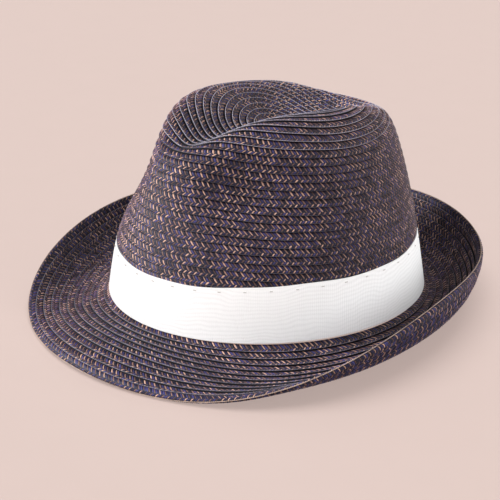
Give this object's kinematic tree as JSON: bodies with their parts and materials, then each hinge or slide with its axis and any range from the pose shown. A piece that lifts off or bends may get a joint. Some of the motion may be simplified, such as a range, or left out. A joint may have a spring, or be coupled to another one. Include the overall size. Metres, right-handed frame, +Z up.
{
  "type": "fedora hat",
  "caption": "Short-brimmed fedora of sewn straw braid with a creased, pinched crown, a wide ribbon band, a sweatband and a wired brim edge curled up at the sides and rear.",
  "frame": {"origin": "on the table under the middle of the hat's outline, with the hat standing on the front edge and the rear belly of its brim", "axes": "+Z up, front of the hat towards -Y, wearer's left towards +X"},
  "size_m": [0.2564, 0.2932, 0.1266],
  "materials": {
    "crown_braid": "plaited navy and tan straw",
    "brim_braid": "plaited navy and tan straw",
    "edge_braid": "plaited navy and tan straw",
    "wire": "drawn wire",
    "ribbon": "ribbed grosgrain",
    "thread": "matte",
    "sweatband": "woven",
    "sweatband_tape": "woven",
    "label": "satin weave, blank"
  },
  "bodies": {
    "root": {"crown": "crown_braid", "tip_button": "crown_braid", "brim": "brim_braid", "brim_edge_row": "edge_braid", "brim_wire": "wire", "wire_sleeve": "wire", "ribbon_band": "ribbon", "ribbon_keeper": "ribbon", "ribbon_tacks": "thread", "sweatband": "sweatband", "sweatband_tape": "sweatband_tape", "sweatband_stitching": "thread", "size_label": "label"}
  },
  "joints": []
}
